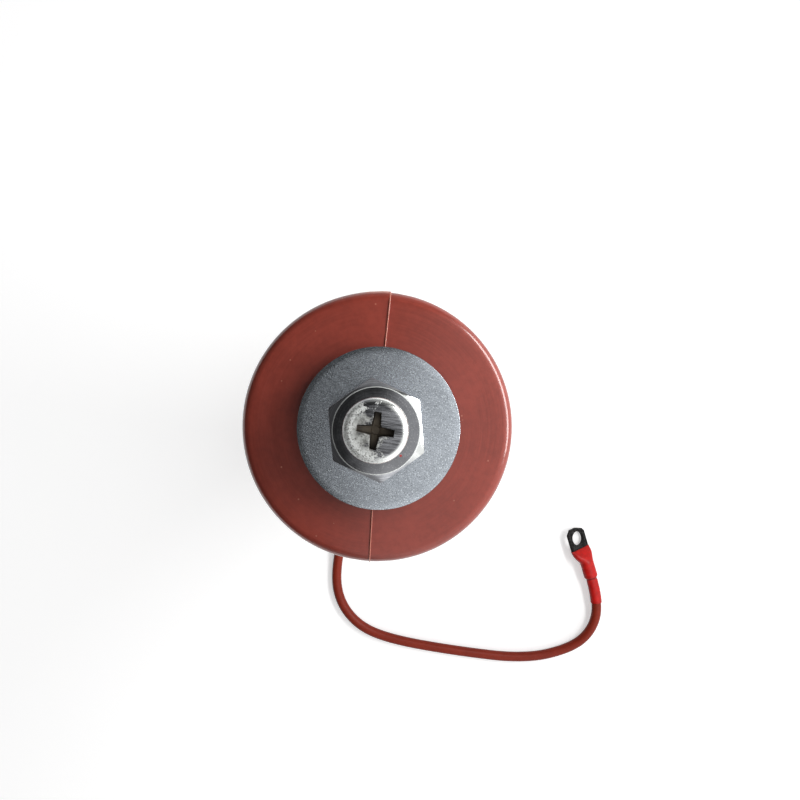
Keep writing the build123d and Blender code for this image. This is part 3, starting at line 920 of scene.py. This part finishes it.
class ARRESTER_OT_lead(bpy.types.Operator):
    """Insulated lead on its route along the ground, with its ribbed strain relief and its sleeve"""

    bl_idname = "arrester.lead"
    bl_label = "Lead"

    def execute(self, context):
        sizes = context.scene.arrester_lead
        data = bpy.data.curves.new("lead", "CURVE")
        data.dimensions = "3D"
        data.resolution_u = 24
        data.bevel_depth = sizes.radius
        data.bevel_resolution = 9
        data.use_fill_caps = True
        spline = data.splines.new("NURBS")
        spline.points.add(len(LEAD_ROUTE) - 1)
        for point, place in zip(spline.points, LEAD_ROUTE):
            point.co = (*place, 1.0)
            point.radius = MM  # scales the bevel's millimetres, and keeps Blender's box of the curve tight
        spline.order_u = 3
        spline.use_endpoint_u = True
        pale = tint(sizes.insulation, 2.2)
        data.materials.append(moulded_rubber("Lead insulation", sizes.insulation, pale, 0.42, 0.96, 0.2))
        lead = dress(new_object("lead", data), "lead_cable")
        relief = self.make_relief(sizes)
        sleeve = make_sleeve(lead, sizes)
        return {"FINISHED"}

    def make_relief(self, sizes):
        """Tapered rubber boot with shallow flex grooves, from the base's wall outwards."""
        start, end = 21.2, 44.0  # distances from the arrester's axis
        bore, root, mouth = sizes.radius + 0.05, 5.6, 3.3
        grooves, groove_step, groove_depth = 6, 2.6, 0.5
        corners = [(bore, end), (mouth, end), (mouth + 0.05, end - 1.0)]
        for k in range(grooves):
            place = end - 1.6 - k * groove_step
            reach = mouth + 0.05 + (end - place) / (end - start) * 2.15
            corners += [(reach, place), (reach - groove_depth, place - 0.35)]
            corners += [(reach - groove_depth + 0.05, place - 1.1), (reach + 0.1, place - 1.5)]
        corners += [(root - 0.05, start + 1.6), (root, start), (bore, start)]
        along = Vector((cos(RELIEF_ANGLE), sin(RELIEF_ANGLE), 0.0))
        shape = moved(lathe(corners, 48), facing((0, 0, RELIEF_HEIGHT), along, "Z"))
        rgb = tint(sizes.insulation, 0.9)
        rubber = moulded_rubber("Strain relief rubber", rgb, tint(rgb, 2.2), 0.55, 0.94, 0.3)
        return make_piece("strain_relief", shape, rubber, "lead_strain_relief", 35.0)


def lug_axes():
    """Directions across and along the lug's tongue."""
    end, before = Vector(LEAD_ROUTE[-1]), Vector(LEAD_ROUTE[-2])
    along = (end - before).normalized()
    side = along.cross(Vector((0, 0, 1))).normalized()
    return Matrix.Rotation(LUG_ROLL, 3, along) @ side, along


def make_sleeve(lead, sizes):
    """Shrunk sleeve over the lead's end, the lug's barrel and its flare, as rings along one line."""
    side, along = lug_axes()
    line = [p / MM for p in curve_line(lead)]
    end = line[-1]
    path = []  # distance past the lead's end, place and direction
    back = 0.0
    for here, behind in zip(line[::-1], line[-2::-1]):
        if back > sizes.sleeve_run:
            break
        path.insert(0, (-back, here, (here - behind).normalized()))
        back += (here - behind).length
    path.pop()
    steps = 60
    for k in range(steps + 1):
        s = (BARREL_LENGTH + FLARE_LENGTH) * k / steps
        path.append((s, end + along * s, along))
    wall = sizes.sleeve_wall
    cover = wall + 0.05
    on_lead, on_barrel = sizes.radius + cover, BARREL_RADIUS + cover
    around = 64
    outer_rows, inner_rows, verts = [], [], []
    for s, place, direction in path:
        step = smooth_step(s, -0.7, 0.0)
        round_radius = on_lead + (on_barrel - on_lead) * step
        fold = 0.22 * exp(-(((s + 0.9) / 0.45) ** 2))
        open_out = min(1.0, max(0.0, (s - BARREL_LENGTH) / FLARE_LENGTH))
        lift = (TONGUE_THICKNESS / 2 - BARREL_RADIUS) * open_out
        puff = sin(pi * open_out)
        half_width = round_radius + (TONGUE_HALF_WIDTH + cover - round_radius) * open_out + 0.55 * puff**1.5
        half_height = round_radius + (TONGUE_THICKNESS / 2 + cover - round_radius) * open_out + 0.35 * puff
        power = 2.0 + 3.0 * open_out**2
        across = (side - direction * side.dot(direction)).normalized()
        out = across.cross(direction).normalized()
        for rows, thinner in ((outer_rows, 0.0), (inner_rows, wall * 0.8)):
            row = []
            for k in range(around):
                turn = FULL_TURN * k / around
                c, w = cos(turn), sin(turn)
                wrinkle = 0.05 * noise.noise(Vector((c * 2.0, w * 2.0, s * 0.8)))
                a = (half_width - thinner - fold + wrinkle) * abs(c) ** (2 / power) * (1 if c >= 0 else -1)
                b = (half_height - thinner - fold + wrinkle) * abs(w) ** (2 / power) * (1 if w >= 0 else -1)
                row.append(len(verts))
                verts.append(tuple(place + across * a + out * (b + lift)))
            rows.append(row)
    faces = skin(outer_rows + inner_rows[::-1] + outer_rows[:1])
    material = shrunk_plastic(sizes.sleeve, end, along)
    return make_piece("sleeve", (verts, faces), material, "lead_sleeve", 60.0)


def shrunk_plastic(rgb, step, along):
    """Glossy shrunk tube with soft ripples, a little dirt and painted shade along the crease at the barrel's
    step.
    """
    s = new_material("Shrunk sleeve")
    film = grime(s, From=0.45, To=0.7)["Mask"]
    ripple = s.noise(s.place(), 0.5)
    s.body = s.mix(s.ramp(ripple, 0.3, 0.7), tint(rgb, 0.82), tint(rgb, 1.12))
    s.paint(film, tint(rgb, 0.5), 0.25)
    dots = flecks(s, Cells=700.0, Threshold=0.9, Size=0.09)["Mask"]
    s.paint(dots, (0.7, 0.2, 0.18), 0.25)
    # painted shade: a dark band along the crease at the barrel's step
    reach = s.vector("DOT_PRODUCT", s.place(), along)
    crease = s.absolute(s.minus(reach, (step.dot(along) - 0.75) * MM))
    s.paint(s.fade(crease, 0.1, 0.75, 0.75, 0.0), tint(rgb, 0.16))
    rough = s.ramp(ripple, 0.2, 0.8, 0.4, 0.52)
    return close(s, rough, s.bump(ripple, 0.2, 0.4), Specular_IOR_Level=0.35)


# ---- CAD pieces that keep their own shape ----


def dark_plate(rgb):
    """Tin plate gone nearly black, with rubbed grey edges."""
    s = new_material("Darkened plate")
    film = grime(s, From=0.4, To=0.65)["Mask"]
    wear = edge_wear(s, From=0.51, To=0.58)["Mask"]
    lines = scratches(s, Direction=0.3, Fineness=4200.0)["Lines"]
    s.body = s.mix(film, tint(rgb, 0.6), tint(rgb, 1.3))
    s.paint(s.ramp(lines, 0.6, 0.75, 0.0, 0.3), tint(rgb, 2.0))
    s.paint(wear, (0.3, 0.3, 0.3), 0.1)
    rough = s.ramp(film, 0.0, 1.0, 0.45, 0.6)
    return close(s, rough, s.bump(lines, 0.01, 0.3), Specular_IOR_Level=0.08)


def block_ceramic():
    s = new_material("Zinc oxide ceramic")
    grain = s.noise(s.place(), 2.2, 4.0)
    s.body = s.mix(s.ramp(grain, 0.3, 0.7), (0.035, 0.035, 0.04), (0.075, 0.075, 0.08))
    return close(s, 0.7, s.bump(grain, 0.05, 0.5))


def wound_fibre():
    s = new_material("Wound glass fibre")
    x, y, z = s.split(s.place())
    lay = s.plus(z, s.times(s.maths("ARCTAN2", y, x), 0.006))
    bands = s.noise(s.join(lay, s.times(x, 0.1), s.times(y, 0.1)), 0.9)
    s.body = s.mix(s.ramp(bands, 0.3, 0.7), (0.42, 0.38, 0.22), (0.62, 0.58, 0.42))
    return close(s, 0.45, s.bump(bands, 0.1, 0.5))


class ARRESTER_OT_kept_parts(bpy.types.Operator):
    """Finishes for the CAD parts that keep their own shape"""

    bl_idname = "arrester.kept_parts"
    bl_label = "Lug, electrodes and core"

    def execute(self, context):
        terminal, lead = context.scene.arrester_terminal, context.scene.arrester_lead
        steel, worn = terminal.steel, terminal.worn
        turned = plated_metal("Turned aluminium", (0.66, 0.66, 0.68), worn, 0.34, 0.0, 0.3, 3.0)
        plain = plated_metal("Plain steel", steel, worn, 0.36, 0.6, 0.4, 3.0)
        spring = plated_metal("Spring steel", (0.2, 0.2, 0.21), worn, 0.4, 0.2, 0.5, 3.0)
        strands = plated_metal("Tinned copper", (0.62, 0.45, 0.36), worn, 0.35, 0.0, 0.4, 3.0)
        pale = tint(lead.insulation, 2)
        inner_rubber = moulded_rubber("Lead insulation inside", lead.insulation, pale, 0.5)
        finishes = {
            "glass_fibre_tube": wound_fibre(),
            "varistor_block": block_ceramic(),
            "electrode_pins": plain,
            "electrode": turned,
            "spacer_block": turned,
            "contact_disc": plain,
            "pressure_plate": plain,
            "disc_spring": spring,
            "terminal_stud": plain,
            "lead_clamp_screw": spring,
            "conductor": strands,
            "lead_entry": inner_rubber,
            "cable_lug": dark_plate(lead.lug),
        }
        for name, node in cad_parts.items():
            finish = next((value for key, value in finishes.items() if key in name), None)
            for place in node.material_slots if finish else ():
                place.material = finish
        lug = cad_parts["cable_lug"]
        bevel = lug.modifiers.new("Rounded edges", "BEVEL")
        bevel.width = 0.00012
        bevel.segments = 3
        bevel.limit_method = "ANGLE"
        bevel.angle_limit = radians(40)
        return {"FINISHED"}


# ---- Stage ----


class ARRESTER_OT_stage(bpy.types.Operator):
    """Floor, soft light and the camera over the arrester's top"""

    bl_idname = "arrester.stage"
    bl_label = "Stage"

    def execute(self, context):
        sizes = context.scene.arrester_stage
        scene = context.scene
        scene.view_settings.view_transform = "Standard"
        self.make_camera(scene, sizes)
        self.make_floor()
        self.make_lights(scene, sizes)
        return {"FINISHED"}

    def make_camera(self, scene, sizes):
        data = bpy.data.cameras.new("camera")
        data.lens, data.sensor_width = 36.0, 36.0
        data.clip_start, data.clip_end = 0.005, 20.0
        camera = new_object("camera", data)
        back = Vector((sizes.nadir_right, sizes.nadir_up, 1.0)).normalized()
        right = Vector((1, 0, 0))
        right = (right - back * right.dot(back)).normalized()
        up = back.cross(right)
        turn = Matrix((right, up, back)).transposed().to_4x4()
        place = Vector((sizes.camera_x, sizes.camera_y, sizes.camera_height))
        camera.matrix_world = Matrix.Translation(place) @ turn
        scene.camera = camera

    def make_floor(self):
        bpy.ops.mesh.primitive_plane_add(size=6.0, location=(0, 0, -0.0003))
        floor = bpy.context.object
        floor.name = "floor"
        s = new_material("Pale floor")
        surface = s.add("ShaderNodeBsdfDiffuse", {"Color": (0.86, 0.86, 0.86)})
        light = s.ramp(s.vector("LENGTH", s.place()), 0.3, 0.8, 0.45, 1.0)  # so that no horizon shows
        glow = s.add("ShaderNodeEmission", {"Color": WHITE, "Strength": light})
        both = s.add("ShaderNodeAddShader", {0: surface.outputs[0], 1: glow.outputs[0]})
        ray = s.add("ShaderNodeLightPath").outputs
        seen = s.larger(ray["Is Camera Ray"], ray["Is Glossy Ray"])
        seen = s.larger(seen, ray["Is Transmission Ray"])
        dim = s.add("ShaderNodeBsdfDiffuse", {"Color": (0.2, 0.2, 0.2)})
        shown = s.add("ShaderNodeMixShader", {0: seen, 1: dim.outputs[0], 2: both.outputs[0]})
        s.add("ShaderNodeOutputMaterial", {"Surface": shown.outputs[0]})
        floor.data.materials.append(s.material)

    def make_lights(self, scene, sizes):
        world = bpy.data.worlds.new("studio")
        scene.world = world
        world.use_nodes = True
        world.node_tree.nodes.clear()
        s = Shader(world.node_tree)
        towards = Vector((0.838, -0.339, 0.43)).normalized()
        sky = s.add("ShaderNodeTexCoord").outputs["Generated"]
        window = s.vector("DOT_PRODUCT", sky, towards)
        strength = s.ramp(window, sizes.sky_from, sizes.sky_to, sizes.sky_dark, sizes.sky_bright)
        low = s.absolute(s.split(sky)[1])
        strength = s.larger(strength, s.ramp(low, 0.78, 0.86, 0.0, sizes.sky_low))
        seen = s.add("ShaderNodeLightPath").outputs["Is Camera Ray"]
        strength = s.larger(strength, seen)
        background = s.add("ShaderNodeBackground", {"Color": WHITE, "Strength": strength})
        s.add("ShaderNodeOutputWorld", {"Surface": background.outputs[0]})
        for name, place, aim, size, power in (
            ("key", (0.195, 0.055, 0.315), (0.0, 0.0, 0.23), (0.24, 0.07), sizes.key_power),
            ("fill", (0.3, -0.5, 0.5), (0.0, 0.0, 0.1), (0.5, 0.5), sizes.fill_power),
        ):
            data = bpy.data.lights.new(name, "AREA")
            data.shape = "RECTANGLE"
            data.size, data.size_y = size
            data.energy = power
            light = new_object(name, data)
            light.visible_camera = False
            light.matrix_world = facing(place, Vector(aim) - Vector(place), "-Z")


class ARRESTER_PT_panel(bpy.types.Panel):
    """Lists the pieces of the arrester"""

    bl_label = "Arrester"
    bl_idname = "ARRESTER_PT_panel"
    bl_space_type = "VIEW_3D"
    bl_region_type = "UI"
    bl_category = "Arrester"

    def draw(self, context):
        for operator, group in STEPS:
            box = self.layout.box()
            box.operator(operator.bl_idname)
            sizes = getattr(context.scene, group)
            for name in sizes.__annotations__:
                box.prop(sizes, name)


GROUPS = {
    "arrester_stage": StageSizes,
    "arrester_lead": LeadSizes,
    "arrester_housing": HousingSizes,
    "arrester_terminal": TerminalSizes,
}
STEPS = [
    (ARRESTER_OT_stage, "arrester_stage"),
    (ARRESTER_OT_lead, "arrester_lead"),
    (ARRESTER_OT_housing, "arrester_housing"),
    (ARRESTER_OT_terminal, "arrester_terminal"),
    (ARRESTER_OT_kept_parts, "arrester_lead"),
]
CLASSES = [*GROUPS.values(), *(step[0] for step in STEPS), ARRESTER_PT_panel]


def register():
    for item in CLASSES:
        bpy.utils.register_class(item)
    for name, group in GROUPS.items():
        setattr(bpy.types.Scene, name, PointerProperty(type=group))


def unregister():
    for name in GROUPS:
        delattr(bpy.types.Scene, name)
    for item in reversed(CLASSES):
        bpy.utils.unregister_class(item)


def main():
    register()
    bpy.ops.arrester.stage()
    bpy.ops.arrester.lead()
    bpy.ops.arrester.housing()
    bpy.ops.arrester.terminal()
    bpy.ops.arrester.kept_parts()
    bpy.context.view_layer.update()


if __name__ == "__main__":
    main()
